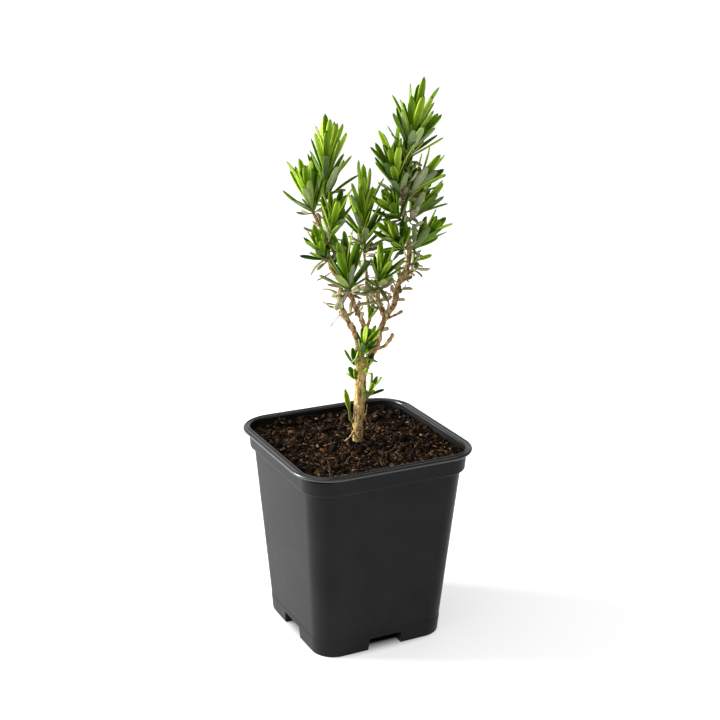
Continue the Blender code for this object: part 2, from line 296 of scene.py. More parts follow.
def shadeAndSoilInsideSkin():
    book = SkinBook("shadedSoiledInside")
    smear = book.grain(260.0, 5.0, 0.7)
    # the two dark stops lie below the outer plastic's colour as painted shade; the brown top stop is a real
    # soil smear
    colour = book.ramp(smear, ((0.3, (0.0060, 0.0060, 0.0068)), (0.6, (0.008, 0.0075, 0.0075)),
                               (0.8, (0.020, 0.012, 0.007))))
    dull = book.span(smear, 0.55, 0.85)
    return book.finish(colour, dull, book.bump(smear, 0.3, 0.0003), Specular_IOR_Level=0.10)


def soilSkin(name):
    book = SkinBook(name)
    tone, wet = book.channels("peatTone")[:2]
    fine = book.grain(900.0, 6.0, 0.7)
    broad = book.grain(160.0, 4.0)
    mixed = book.maths("ADD", book.maths("MULTIPLY", tone, 0.75), book.maths("MULTIPLY", fine, 0.35))
    colour = book.ramp(mixed, ((0.14, (0.003, 0.0018, 0.0010)), (0.40, (0.013, 0.0065, 0.0030)),
                               (0.62, (0.048, 0.022, 0.008)), (0.85, (0.150, 0.075, 0.028)),
                               (1.0, (0.34, 0.21, 0.11))))
    colour = book.mix(book.span(broad, 0.0, 0.6, 0.45, 0.72), colour, (0.004, 0.003, 0.002))
    damp = book.span(wet, 0.50, 0.95)
    crumb = book.bump(book.grain(2400.0, 5.0, 0.7), 0.9, 0.0003)
    return book.finish(colour, damp, book.bump(fine, 0.8, 0.0005, crumb), Specular_IOR_Level=0.09)


def barkSkin():
    book = SkinBook("flakyBark")
    height, ridge, young = book.channels("barkToneAndShade")
    streak = book.grain(1500.0, 5.0, 0.65, book.stretched((1, 1, 0.16)))
    blotch = book.grain(330.0, 4.0, 0.6, book.stretched((1, 1, 0.5)))
    # ridge carries painted highlight on the raised ridges and painted shade in the cracks; the ramps turn
    # it into pale tops and dark cracks over the bark's own tan and brown
    mixed = book.maths("ADD", book.maths("MULTIPLY", ridge, 0.62), book.maths("MULTIPLY", streak, 0.45))
    lower = book.ramp(mixed, ((0.20, (0.075, 0.032, 0.009)), (0.34, (0.370, 0.200, 0.062)),
                              (0.52, (0.720, 0.480, 0.180)), (0.80, (0.970, 0.800, 0.440))))
    upper = book.ramp(mixed, ((0.26, (0.020, 0.009, 0.004)), (0.39, (0.190, 0.098, 0.038)),
                              (0.56, (0.510, 0.315, 0.145)), (0.80, (0.850, 0.660, 0.400))))
    colour = book.mix(height, lower, upper)
    green = book.ramp(mixed, ((0.3, (0.210, 0.220, 0.025)), (0.8, (0.600, 0.590, 0.130))))
    colour = book.mix(young, colour, green)
    colour = book.mix(book.span(blotch, 0.0, 0.45, 0.55, 0.75), colour, (0.230, 0.135, 0.055))
    lichen = book.span(book.grain(520.0, 3.0), 0.0, 0.35, 0.58, 0.75)
    colour = book.mix(lichen, colour, (0.520, 0.460, 0.150))
    fibre = book.bump(streak, 0.9, 0.0006)
    return book.finish(colour, 0.88, book.bump(book.grain(3200.0, 3.0), 0.5, 0.00015, fibre),
                       Specular_IOR_Level=0.12)


def leafSkin():
    book = SkinBook("leafFelt")
    age, luck, top = book.channels("leafTone")
    across, along, dry = book.channels("leafMap")
    streak = book.grain(700.0, 3.0)
    fresh = book.tones(luck, (0.130, 0.270, 0.004), (0.200, 0.370, 0.008), (0.300, 0.470, 0.022))
    grown = book.tones(luck, (0.024, 0.078, 0.0006), (0.068, 0.165, 0.0015), (0.160, 0.300, 0.006))
    old = book.tones(luck, (0.170, 0.190, 0.065), (0.340, 0.345, 0.175), (0.540, 0.525, 0.330))
    green = book.mix(book.span(age, 0, 1, 0.0, 0.45), fresh, grown)
    # the middle groove of the top face is painted darker as shade
    paintedGrooveShade = book.span(across, 0.7, 0.0, 0.0, 0.34)
    green = book.mix(paintedGrooveShade, green, book.tinted(green, (0.22, 0.32, 0.15)))
    # the margins are painted paler: partly the leaf's own pale rolled edge, partly a painted highlight
    rim = book.span(across, 0.0, 0.7, 0.66, 1.0)
    green = book.mix(rim, green, book.tinted(green, (4.0, 3.0, 11.0)))
    green = book.mix(book.span(age, 0, 1, 0.70, 0.92), green, old)
    felt = book.mix(book.span(age, 0.0, 0.8, 0.40, 0.95), book.tinted(green, (1.2, 1.1, 1.6)),
                    (0.54, 0.55, 0.37))
    rib = book.span(across, 0.8, 0.0, 0.0, 0.30)
    under = book.mix(rib, felt, book.tinted(felt, (1.5, 1.35, 1.7)))
    colour = book.mix(book.span(top, 1.0, 0.0, 0.35, 0.6), green, under)
    foot = book.span(along, 0.75, 0.0, 0.0, 0.20)
    colour = book.mix(foot, colour, (0.27, 0.29, 0.08))
    tip = book.span(along, 0.0, 0.5, 0.93, 1.0)
    colour = book.mix(tip, colour, (0.07, 0.09, 0.02))
    withered = book.tones(luck, (0.16, 0.100, 0.050), (0.34, 0.245, 0.150), (0.52, 0.43, 0.30))
    colour = book.mix(dry, colour, withered)
    colour = book.mix(book.span(streak, 0.0, 0.35, 0.45, 0.7), colour,
                      book.tinted(colour, (0.62, 0.68, 0.55)))
    ribs = book.bump(streak, 0.35, 0.00025)
    felted = book.bump(book.grain(5200.0, 2.0), 0.35, 0.00006, ribs)
    return book.finish(colour, book.span(age, 0.36, 0.72), felted, Specular_IOR_Level=0.10,
                       Subsurface_Weight=0.12, Subsurface_Radius=(0.4, 1.0, 0.1), Subsurface_Scale=0.0007)


# pot: one moulded shell with a rolled lip, a band and a raised drainage cross
potShape = dict(lipThick=1.8, lipInner=4.0, beadDrop=3.1, beadOut=0.25, bandIn=3.4, bandDepth=11.0,
                bodyIn=5.6, footIn=11.5, baseIn=11.9, footHeight=8.5, footStep=0.15, wall=1.2,
                rimCorner=18.0, bandCorner=12.5, bodyCorner=11.5, baseCorner=11.0, cornerSteps=14,
                channelWidth=18.0, channelHeight=6.2, channelSlope=0.8, drainRadius=3.0, drainReach=17.0,
                edgeRound=0.9, bandRise=1.5, beadHeight=0.35, sharpAngle=38, insideFrom=7.0, lipGloss=0.8,
                lipTop=(  # in from the outer edge, down from the top
                    (1.7, 0.38), (2.4, 0.38), (2.75, 0.12), (3.05, 0.0), (3.4, 0.0), (3.75, 0.18)))


def ringPoint(index, half, corner, height, steps):
    quarter, step = divmod(index, steps + 1)
    angle = (quarter + step / steps) * math.pi / 2
    middle = math.pi / 4 + quarter * math.pi / 2
    centre = (half - corner) * math.sqrt(2)
    return Vector((centre * math.cos(middle) + corner * math.cos(angle),
                   centre * math.sin(middle) + corner * math.sin(angle), height)) * mm


def loftRings(sections, steps):
    bm = bmesh.new()
    bmesh.ops.create_circle(bm, segments=4 * (steps + 1), radius=1)
    number = bm.verts.layers.int.new("number")
    ring = sorted(bm.verts, key=lambda vert: math.atan2(vert.co.y, vert.co.x) % math.tau)
    for index, vert in enumerate(ring):
        vert[number] = index
    edges = list(bm.edges)
    for level, section in enumerate(sections):
        if level:
            made = bmesh.ops.extrude_edge_only(bm, edges=edges)["geom"]
            ring = [part for part in made if isinstance(part, bmesh.types.BMVert)]
            fresh = set(ring)
            edges = [part for part in made if isinstance(part, bmesh.types.BMEdge)
                     and all(vert in fresh for vert in part.verts)]
        for vert in ring:
            vert.co = ringPoint(vert[number], *section, steps)
    bmesh.ops.holes_fill(bm, edges=bm.edges)
    bmesh.ops.recalc_face_normals(bm, faces=bm.faces)
    return bm


def arcSteps(first, last, step):
    for turn in range(first, last + 1, step):
        yield math.sin(math.radians(turn)), math.cos(math.radians(turn))


def potSections(shape, half, top):
    wall, lip = shape["wall"], shape["lipThick"]
    band, body = half - shape["bandIn"], half - shape["bodyIn"]
    foot, base = half - shape["footIn"], half - shape["baseIn"]
    bandLow = top - shape["bandDepth"]
    bead = top - shape["beadDrop"]
    rimCorner, bandCorner = shape["rimCorner"], shape["bandCorner"]
    bodyCorner, baseCorner = shape["bodyCorner"], shape["baseCorner"]
    edge, step, footTop = shape["edgeRound"], shape["footStep"], shape["footHeight"]
    sections = []  # half width, corner radius and height of each ring, up the outside and down the inside
    for sine, cosine in arcSteps(0, 90, 15):  # rounded bottom edge
        sections.append((base - edge * (1 - sine), baseCorner - edge * (1 - sine), edge * (1 - cosine)))
    footHalf = blendValue(base, foot, 0.9)
    sections += [(footHalf + step, baseCorner, footTop - 0.5),
                 (footHalf + step * 0.9, baseCorner, footTop - 0.2),
                 (foot + 0.02, baseCorner, footTop + 0.1),
                 (foot + 0.05, baseCorner, footTop + 0.6)]
    for part in (0.25, 0.5, 0.75):
        sections.append((blendValue(foot, body, part), blendValue(baseCorner, bodyCorner, part),
                         blendValue(footTop, bandLow, part)))
    sections += [(body - 0.05, bodyCorner, bandLow - 0.8), (body, bodyCorner, bandLow - 0.1)]
    for sine, cosine in arcSteps(0, 90, 18):  # rounded step out to the band
        sections.append((body + 0.15 + (band - 0.5 - body) * sine, bandCorner,
                         bandLow + shape["bandRise"] * (1 - cosine)))
    sections += [(band - 0.3, bandCorner, bandLow + 2.2), (band - 0.05, bandCorner, bead - 0.6)]
    for sine, cosine in arcSteps(0, 180, 36):  # fine bead below the lip
        sections.append((band + shape["beadOut"] * sine, bandCorner + 0.2,
                         bead - shape["beadHeight"] * cosine))
    sections += [(band + 0.1, bandCorner + 0.3, top - lip - 0.5),
                 (band + 0.6, bandCorner + 1.0, top - lip - 0.05)]
    middle, curl = top - lip / 2, lip / 2
    for sine, cosine in arcSteps(-90, 90, 20):  # rolled outer edge of the lip
        sections.append((half - curl + curl * cosine, rimCorner - curl + curl * cosine,
                         middle + curl * sine))
    inner, innerCorner = half - shape["lipInner"], bandCorner - 0.6
    for away, drop in shape["lipTop"]:
        corner = blendValue(rimCorner, innerCorner, away / shape["lipInner"])
        sections.append((half - away, corner, top - drop))
    sections += [(inner, innerCorner, top - 0.7),
                 (band - wall - 0.4, bandCorner - wall, bandLow + 1.2),
                 (body - wall, bodyCorner - wall, bandLow - 1.0),
                 (base - wall, baseCorner - wall, wall + 0.6),
                 (base - wall - 0.6, baseCorner - wall - 0.6, wall)]
    return sections


def crossBlock(name, width, reach, low, high, slope):
    bars = []
    for turn in (0, math.pi / 2):
        bm = bmesh.new()
        bmesh.ops.create_cube(bm, size=1)
        for vert in bm.verts:
            upper = vert.co.z > 0
            half = width / 2 - (slope if upper else 0)
            height = high if upper else low
            vert.co = Vector((math.copysign(reach, vert.co.x), math.copysign(half, vert.co.y), height)) * mm
        bmesh.ops.rotate(bm, verts=bm.verts, matrix=Matrix.Rotation(turn, 3, "Z"))
        bars.append(finishMesh(name, bm, smooth=False))
    combine(bars[0], bars[1], "UNION")
    return bars[0]


def buildPot(shape):
    low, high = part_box("pot")
    half, top = (high.x - low.x) / 2 / mm, high.z / mm  # the outer size comes from the frame
    shell = finishMesh("potShell", loftRings(potSections(shape, half, top), shape["cornerSteps"]))
    wall, width = shape["wall"], shape["channelWidth"]
    base = half - shape["baseIn"]
    hump = crossBlock("hump", width + 2 * wall, base - wall / 2, wall / 2, shape["channelHeight"] + wall,
                      shape["channelSlope"])
    combine(shell, hump, "UNION")
    channel = crossBlock("channel", width, half, -2, shape["channelHeight"], shape["channelSlope"])
    combine(shell, channel, "DIFFERENCE")
    drains = bmesh.new()
    for quarter in range(4):
        place = (Matrix.Rotation(quarter * math.pi / 2, 4, "Z")
                 @ Matrix.Translation((shape["drainReach"] * mm, 0, shape["channelHeight"] * mm)))
        bmesh.ops.create_cone(drains, cap_ends=True, segments=24, radius1=shape["drainRadius"] * mm,
                              radius2=shape["drainRadius"] * mm, depth=6 * mm, matrix=place)
    combine(shell, finishMesh("drains", drains, smooth=False), "DIFFERENCE")
    shell.data.shade_smooth()
    shell.data.set_sharp_from_angle(angle=math.radians(shape["sharpAngle"]))
    shell.data.materials.clear()
    moulded, lip = potSkin("mouldedBlack", 0.10, 0.34, 1.0), potSkin("polishedLip", 0.80, 0.26, 0.25)
    for skin in (moulded, shadeAndSoilInsideSkin(), lip):
        shell.data.materials.append(skin)
    lipFloor = (top - shape["lipThick"]) * mm
    glossFloor = (top - shape["lipGloss"]) * mm
    for face in shell.data.polygons:  # 1 is the dull inside, painted darker as shade and smeared with soil; 2 the glossy lip
        spot = face.center
        outward = face.normal.x * spot.x + face.normal.y * spot.y
        if outward < -0.3 * math.hypot(spot.x, spot.y) and spot.z > shape["insideFrom"] * mm:
            face.material_index = 1
        if spot.z > lipFloor and (outward > 0 or spot.z > glossFloor):
            face.material_index = 2
    settlePiece(shell, "pot", "pot")
    print("pot done:", len(shell.data.polygons), "faces")


# soil: a lumpy bed, loose crumbs, chips and rootlets
soilShape = dict(level=91.8, mound=1.2, wallGap=0.4, cells=230, clods=900, crumbs=5200, chips=260,
                 specks=150, rootlets=46,  # the bristle is one rootlet that stands up at the wall
                 bristle=(((-11.3, -41, 90.5), (-11.2, -41, 95), (-12.4, -41, 99.6)), (0.34, 0.26, 0.14)))


def soilHeight(x, y, shape, reach):
    away = math.hypot(x, y) / reach
    spot = Vector((x, y, 0))
    lumps = noise.fractal(spot * 0.16, 0.9, 2.0, 4) * 1.1
    lumps += noise.noise(spot * 0.6 + Vector((7, 3, 0))) * 0.6
    grit = abs(noise.noise(spot * 1.3)) * 0.7 + noise.noise(spot * 2.6) * 0.3
    edge = smoothStep((max(abs(x), abs(y)) / reach - 0.86) / 0.14) * 1.3  # drawn up along the wall
    return shape["level"] + shape["mound"] * max(0.0, 1 - away) + lumps + grit + edge - 0.4


def squareReach(x, y, half, corner):
    # how much a point of the square grid is pulled in so that its outline gets round corners
    away = math.hypot(x, y)
    if away < 1e-6:
        return 1.0
    flat = half / max(abs(x), abs(y)) * away
    ax, ay = abs(x) / away, abs(y) / away
    inner = half - corner
    reach = flat
    if min(ax, ay) * flat > inner:
        middle = inner * (ax + ay)
        reach = middle + math.sqrt(max(0.0, middle * middle - 2 * inner * inner + corner * corner))
    return reach / flat


def buildSoilBed(shape, wallHalf, corner):
    bm = bmesh.new()
    bmesh.ops.create_grid(bm, x_segments=shape["cells"], y_segments=shape["cells"], size=1)
    for vert in bm.verts:
        x, y = vert.co.x * wallHalf, vert.co.y * wallHalf
        pull = squareReach(x, y, wallHalf, corner)
        share = max(abs(vert.co.x), abs(vert.co.y))
        pull = blendValue(1.0, pull, share * share)
        x, y = x * pull, y * pull
        vert.co = Vector((x, y, soilHeight(x, y, shape, wallHalf))) * mm
    rim = [edge for edge in bm.edges if len(edge.link_faces) == 1]
    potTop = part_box("pot")[1].z / mm
    bodyHalf = wallHalf - (potShape["bodyIn"] - potShape["bandIn"]) + 0.2
    baseHalf = wallHalf - (potShape["baseIn"] - potShape["bandIn"]) + 0.1
    for half, height in ((wallHalf, potTop - potShape["bandDepth"] + 2.5),
                         (bodyHalf, potTop - potShape["bandDepth"] - 1.5), (baseHalf, 6.8)):
        made = bmesh.ops.extrude_edge_only(bm, edges=rim)["geom"]
        verts = {part for part in made if isinstance(part, bmesh.types.BMVert)}
        rim = [part for part in made if isinstance(part, bmesh.types.BMEdge) and set(part.verts) <= verts]
        low, high = min(v.co.x for v in verts), max(v.co.x for v in verts)
        shrink = half * mm / ((high - low) / 2)
        for vert in verts:
            vert.co = (vert.co.x * shrink, vert.co.y * shrink, height * mm)
    bmesh.ops.holes_fill(bm, edges=bm.edges)
    bmesh.ops.recalc_face_normals(bm, faces=bm.faces)
    tone = bm.verts.layers.float_color.new("peatTone")
    for vert in bm.verts:
        spot = vert.co * 1000
        value = 0.42 + 0.55 * noise.noise(spot * 0.9) + 0.15 * noise.noise(spot * 2.7)
        vert[tone] = (value, 0.6 + 0.4 * noise.noise(spot * 0.4), 0, 1)
    finishPiece("soilBed", bm, soilSkin("peat"), "soil", "soil")


def scatterBits(name, count, seed, reach, shape, bit, skin, perBatch=60):
    # bits are grown in small batches, then gathered, so that each operator works on a light mesh
    dice = random.Random(seed)
    whole = bmesh.new()
    whole.verts.layers.float_color.new("peatTone")
    for start in range(0, count, perBatch):
        batch = bmesh.new()
        tone = batch.verts.layers.float_color.new("peatTone")
        for _ in range(min(perBatch, count - start)):
            x, y = dice.uniform(-reach, reach), dice.uniform(-reach, reach)
            pull = squareReach(x, y, reach, potShape["bandCorner"])
            x, y = x * pull, y * pull
            made = bit(batch, dice, x, y, soilHeight(x, y, shape, reach))
            value = (dice.random() ** 2.1 * 0.95, dice.random(), 0, 1)
            for vert in made:
                vert[tone] = value
        holder = bpy.data.meshes.new("batch")
        batch.to_mesh(holder)
        batch.free()
        whole.from_mesh(holder)
        bpy.data.meshes.remove(holder)
    finishPiece(name, whole, skin, "soil")


def tumbled(dice, *tilts):
    turn = Matrix.Rotation(dice.uniform(0, math.tau), 3, "Z")
    for axis, most in tilts:
        turn = turn @ Matrix.Rotation(dice.uniform(-most, most), 3, axis)
    return turn


def crumbBit(small, large, flat):
    def make(bm, dice, x, y, height):
        size = blendValue(small, large, dice.random() ** 2.2)
        made = bmesh.ops.create_icosphere(bm, subdivisions=1, radius=size * mm)["verts"]
        stretch = Vector((dice.uniform(0.7, 1.5), dice.uniform(0.7, 1.3), dice.uniform(flat, 1.1)))
        turn = tumbled(dice, ("X", 0.9))
        lift = Vector((x, y, height + size * dice.uniform(-0.35, 0.45))) * mm
        for vert in made:
            rough = 1 + dice.uniform(-0.28, 0.28)
            vert.co = turn @ (vert.co * stretch) * rough
            vert.co += lift
        return made
    return make


def chipBit(bm, dice, x, y, height):
    long, wide, thick = dice.uniform(1.2, 3.6), dice.uniform(0.5, 1.3), dice.uniform(0.25, 0.5)
    made = bmesh.ops.create_cone(bm, cap_ends=True, segments=7, radius1=mm / 2, radius2=mm * 0.42,
                                 depth=mm)["verts"]
    turn = tumbled(dice, ("X", 0.5), ("Y", 0.4))
    for vert in made:
        local = vert.co * Vector((long, wide, thick)) * (1 + dice.uniform(-0.2, 0.2))
        vert.co = turn @ local + Vector((x, y, height + 0.5)) * mm
    return made


def rootletBit(bm, dice, x, y, height):
    heading = dice.uniform(0, math.tau)
    rise = dice.uniform(-0.2, 0.9)
    length, thick = dice.uniform(3.0, 8.0), dice.uniform(0.08, 0.17)
    bend, sway = dice.uniform(-1.6, 1.6), dice.uniform(-0.8, 0.8)
    made = bmesh.ops.create_uvsphere(bm, u_segments=5, v_segments=9, radius=1)["verts"]
    for vert in made:
        part = math.acos(max(-1, min(1, -vert.co.z))) / math.pi
        wide = thick * (1.3 - 0.6 * part) / max(0.3, math.hypot(vert.co.x, vert.co.y))
        angle = heading + bend * part
        reach = length * part
        spine = Vector((math.cos(angle), math.sin(angle), 0)) * reach * math.cos(rise)
        up = reach * math.sin(rise) + sway * math.sin(part * math.pi) + 0.4
        vert.co = (Vector((vert.co.x, vert.co.y, 0)) * wide + spine + Vector((x, y, height + up))) * mm
    return made


def paleSkin(name, dark, light, rough):
    book = SkinBook(name)
    tone = book.channels("peatTone")[0]
    fine = book.grain(1400.0)
    mixed = book.maths("ADD", book.maths("MULTIPLY", tone, 0.6), book.maths("MULTIPLY", fine, 0.5))
    colour = book.ramp(mixed, ((0.2, dark), (0.9, light)))
    return book.finish(colour, rough, book.bump(book.grain(3000.0), 0.6, 0.0002))


def buildSoil(shape):
    low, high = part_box("pot")
    half = (high.x - low.x) / 2 / mm
    wallHalf = half - potShape["bandIn"] - potShape["wall"] - shape["wallGap"]
    corner = potShape["bandCorner"] - potShape["wall"]
    buildSoilBed(shape, wallHalf, corner)
    reach = wallHalf - 0.9
    crumb, clod, speck = crumbBit(0.28, 0.95, 0.6), crumbBit(0.7, 1.9, 0.45), crumbBit(0.22, 0.5, 0.6)
    scatterBits("soilCrumbs", shape["crumbs"], 71, reach, shape, crumb, soilSkin("peatCrumbs"))
    scatterBits("soilClods", shape["clods"], 73, reach - 0.6, shape, clod, soilSkin("peatClods"))
    chipSkin = paleSkin("woodChips", (0.05, 0.022, 0.010), (0.36, 0.20, 0.095), 0.8)
    scatterBits("soilChips", shape["chips"], 79, reach - 1.5, shape, chipBit, chipSkin)
    speckSkin = paleSkin("paleGrit", (0.20, 0.16, 0.12), (0.62, 0.56, 0.47), 0.7)
    scatterBits("soilGrit", shape["specks"], 83, reach - 1, shape, speck, speckSkin)
    rootSkin = paleSkin("rootletSkin", (0.16, 0.085, 0.035), (0.56, 0.38, 0.20), 0.75)
    bristle = linkObject("soilBristle", branchTube("soilBristle", *shape["bristle"]))
    bristle.data.materials.append(rootSkin)
    settlePiece(bristle, "soil", "soil")
    scatterBits("soilRootlets", shape["rootlets"], 89, reach - 5, shape, rootletBit, rootSkin)


# woody stem
branches = {
    "trunk": dict(radii=(3.1, 2.4, 2.4, 2.5, 2.8, 2.5, 1.9), points=(
        (1, 1, 84), (1, 1, 92), (1, 1, 101), (1.5, 1, 110), (2, 0.5, 120), (2, 0, 129), (2, -0.2, 134))),
    "left": dict(radii=(1.7, 1.5, 1.3, 1.1, 0.8), points=(
        (1.5, 0, 125), (1, 0, 136), (0.5, -1.5, 143), (-2, -3, 149.5), (-5, -4.5, 155), (-7, -6, 160.5),
        (-8, -7, 164.5), (-7.5, -8, 172), (-12, -9, 180), (-14, -10, 192), (-19.4, -11.1, 204.3))),
    "leftUp": dict(radii=(0.9, 0.8), points=(
        (-13.6, -10, 190), (-14.5, -6, 199), (-15, -1.7, 207))),
    "middleLeft": dict(radii=(1.4, 1.3, 1.0), points=(
        (2, 0, 130), (2.5, -1, 139), (3.5, -2.5, 149), (-1, -6, 161), (-3.1, -9.5, 168.5))),
    "middle": dict(radii=(0.9, 0.8, 0.8), points=(
        (3.4, -2, 147), (6, 1, 154), (5, 3, 160.5), (4, 4, 174.5), (3, 4, 183.6))),
    "right": dict(radii=(1.9, 1.6, 1.4, 1.2), points=(
        (2.5, 0, 124), (5, 0.5, 132), (8, 1, 138), (10, 1, 142), (10.5, 1, 147), (12.5, 1, 152),
        (13.5, 1, 156))),
    "rightInner": dict(radii=(1.4, 1.3, 0.9), points=((13, 1, 154.5), (10, -1, 161), (9, -5.3, 169))),
    "rightOuter": dict(radii=(1.4, 1.35, 1.05, 0.8), points=(
        (13, 1, 154), (17, 3, 159.5), (18, 4.5, 164.5), (20, 6, 171), (23, 7, 176.5), (23, 8, 190),
        (21, 8, 199), (20, 8, 208), (21.5, 7, 218), (22.1, 6.9, 226))),
    "deadTwig": dict(radii=(0.8, 0.8, 1.1, 0.9), points=(
        (8, 1, 138), (13, -0.5, 140.5), (15, -1, 143.5), (17, -1, 146.5))),
    "deadStub": dict(radii=(0.7, 0.85), points=((11, 1, 147), (14.5, -1, 149))),
    "deadSpur": dict(radii=(0.7, 0.6, 0.7), points=((13, 1, 153), (17, -0.5, 155), (21, -1, 157.5))),
}
deadTwigs = (  # bare twiglets, dry leaf stalks and a rootlet or two: radii, points
    ((0.55, 0.38), ((-7, -6, 161.5), (-11, -7, 160.5), (-15.5, -8, 163.5))),
    ((0.40, 0.38), ((-6, -5.2, 158), (-9, -6.5, 155.5), (-12, -7.5, 151.5))),
    ((0.50, 0.38), ((20, 6, 170.5), (22.5, 4.5, 170.8), (24, 4, 169.8))),
    ((0.45, 0.38), ((19, 5, 168), (21.5, 4, 167.4), (22.5, 3.6, 168.6))),
    ((0.45, 0.38), ((17.5, 4, 163), (20, 2.6, 161.5), (21.4, 2.2, 162.6))),
    ((0.50, 0.38), ((22.7, 7, 175), (25, 6.2, 173.6), (26.6, 6, 172.2))),
    ((0.75, 0.55, 0.38), ((12.8, 1, 154), (14.6, -1.2, 158.5), (14.2, -2.5, 164), (15.4, -3, 168))),
    ((0.60, 0.40), ((9.8, -1.6, 162), (12.5, -3.5, 164.5), (13.2, -4.5, 168))),
    ((0.55, 0.40), ((4.6, 2.8, 165), (7, 1.6, 168.5), (8.2, 1, 172.5))),
    ((0.50, 0.38), ((0.4, -5, 157.5), (2.2, -6.6, 160), (2.4, -7.6, 163.5))),
    ((0.70, 0.60, 0.38), ((-0.6, 0.6, 100.5), (-2.1, 0.3, 103.6), (-2.5, 0.2, 104.6))),
    ((0.55, 0.38, 0.38), ((-0.8, 0.2, 98.5), (-2.6, -1.4, 95.6), (-5.4, -2.6, 93.6))),
    ((0.40, 0.38), ((2.9, 0.6, 104), (4.6, -0.6, 107.5), (5.2, -0.7, 112))))
barkShape = dict(voxel=0.27, ridge=0.24, knot=0.36, scarGap=3.1, scarFrom=98, flakes=150,
                 forkHeight=126, forkBlend=22, greenReach=1.35, greenTop=166)


def radiusAt(radii, part):
    place = part * (len(radii) - 1)
    step = min(int(place), len(radii) - 2)
    return blendValue(radii[step], radii[step + 1], place - step)


def pointAlong(points, part):
    place = part * (len(points) - 1)
    step = min(int(place), len(points) - 2)
    start, end = plantPoint(*points[step]), plantPoint(*points[step + 1])
    return start.lerp(end, place - step), (end - start).normalized()


def sidewaysFrom(axis, turn):
    return Matrix.Rotation(turn, 3, axis) @ axis.cross(plantPoint(0, 1, 0)).normalized()


def branchTube(name, points, radii, resolution=4):
    curve = bpy.data.curves.new(name, "CURVE")
    curve.dimensions = "3D"
    curve.bevel_depth = mm
    curve.bevel_resolution = resolution
    curve.resolution_u = 10
    curve.use_fill_caps = True
    spline = curve.splines.new("BEZIER")
    spline.bezier_points.add(len(points) - 1)
    for index, point in enumerate(points):
        knot = spline.bezier_points[index]
        knot.co = plantPoint(*point)
        knot.handle_left_type = knot.handle_right_type = "AUTO"
        knot.radius = radiusAt(radii, index / (len(points) - 1))
    holder = linkObject(name, curve)
    graph = bpy.context.evaluated_depsgraph_get()
    mesh = bpy.data.meshes.new_from_object(holder.evaluated_get(graph))
    bpy.data.objects.remove(holder, do_unlink=True)
    return mesh


def addTube(bm, mesh):
    bm.from_mesh(mesh)
    bpy.data.meshes.remove(mesh)


def addScars(bm, shape):
    # leaf scars: small knobs where old leaves and twigs fell, on alternate sides of the old wood
    dice = random.Random(17)
    for name, branch in branches.items():
        if name in ("middle", "leftUp"):
            continue
        points = [plantPoint(*point) for point in branch["points"]]
        length = sum((end - start).length for start, end in zip(points, points[1:])) / mm
        count = int(length / shape["scarGap"])
        for index in range(count):
            along = (index + dice.uniform(0.2, 0.8)) / count
            spot, axis = pointAlong(branch["points"], along)
            if spot.z < shape["scarFrom"] * mm:
                continue
            radius = radiusAt(branch["radii"], along)
            away = sidewaysFrom(axis, math.radians(index * goldenTurn + dice.uniform(-25, 25)))
            size = dice.uniform(0.35, 0.62) * min(radius, 1.4)
            spot = spot + away * (radius * 0.9) * mm + axis * dice.uniform(-0.2, 0.4) * mm
            bmesh.ops.create_icosphere(bm, subdivisions=2, radius=size * mm,
                                       matrix=Matrix.Translation(spot))


def addFlakes(shape):
    # peeling scraps of bark standing a little off the trunk and branches
    dice = random.Random(23)
    bm = bmesh.new()
    tone = bm.verts.layers.float_color.new("barkToneAndShade")
    names = ("trunk", "trunk", "left", "right", "rightOuter", "middleLeft", "rightInner")
    for index in range(shape["flakes"]):
        branch = branches[names[index % len(names)]]
        along = dice.uniform(0.12, 0.97)
        spot, axis = pointAlong(branch["points"], along)
        radius = radiusAt(branch["radii"], along)
        away = sidewaysFrom(axis, dice.uniform(0, math.tau))
        side = axis.cross(away)
        long, wide = dice.uniform(0.8, 2.6), dice.uniform(0.25, 0.6)
        lift = dice.uniform(0.0, 0.35)
        value = dice.uniform(0.15, 1.0)
        made = bmesh.ops.create_uvsphere(bm, u_segments=6, v_segments=5, radius=1)["verts"]
        for vert in made:
            part = (vert.co.z + 1) / 2
            vert.co = (spot + away * (radius + 0.05 + lift * part * part * 2) * mm
                       + axis * vert.co.z * long / 2 * mm + side * vert.co.x * wide / 2 * mm
                       + away * vert.co.y * 0.10 * mm)
            vert[tone] = (smoothStep((spot.z / mm - shape["forkHeight"]) / shape["forkBlend"]), value, 0, 1)
    finishPiece("barkFlakes", bm, barkFinish, "bark")


